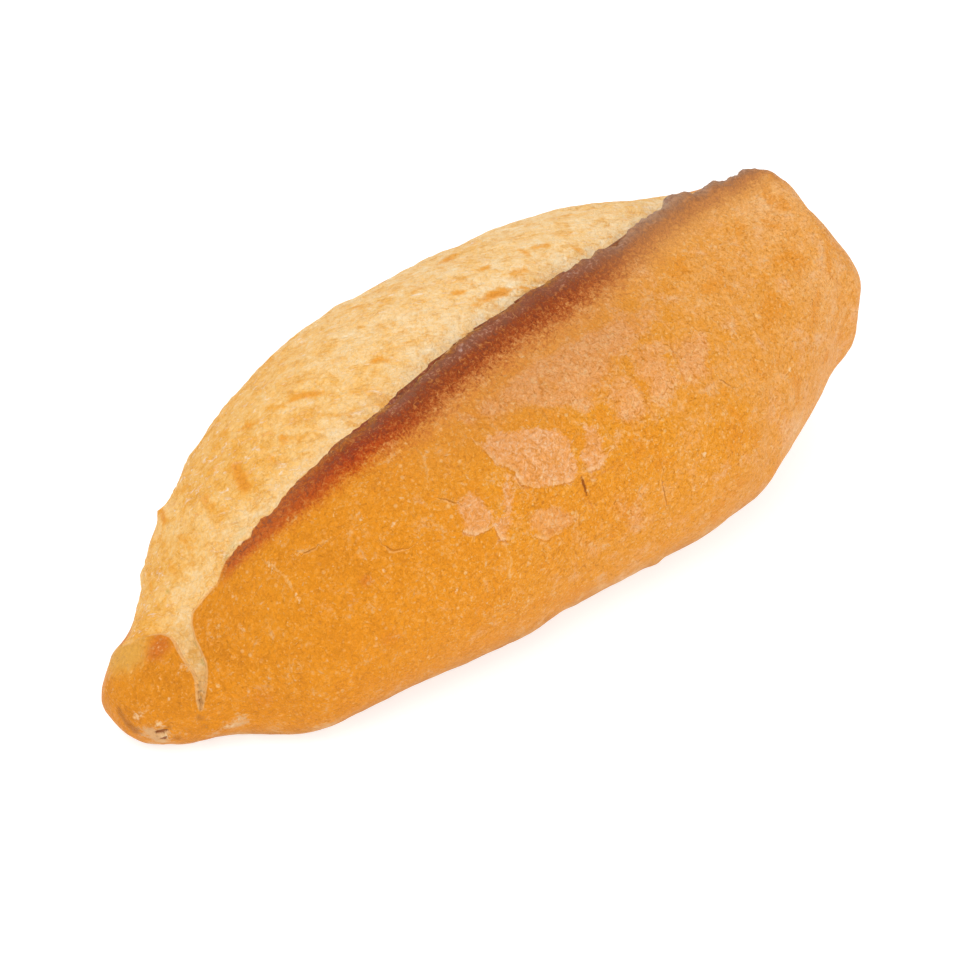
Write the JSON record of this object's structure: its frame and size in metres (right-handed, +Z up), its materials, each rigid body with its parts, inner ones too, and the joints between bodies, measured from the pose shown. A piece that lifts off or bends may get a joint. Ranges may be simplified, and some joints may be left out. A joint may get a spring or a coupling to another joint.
{
  "type": "turkish bread loaf",
  "caption": "Plump oval loaf of white bread with a golden crust, a long split with a browned ear along its top, and a small knob at one end.",
  "frame": {"origin": "on the surface it rests on, under the middle of the loaf", "axes": "+Z up, +X along the loaf from its knob to its broad end, -Y the side of the unbroken crust below the ear"},
  "size_m": [0.2798, 0.125, 0.0913],
  "materials": {
    "crust": "dry baked crust, golden orange, darker along the ear, pale where the crumb has burst out"
  },
  "bodies": {
    "root": {"loaf": "crust"}
  },
  "joints": []
}
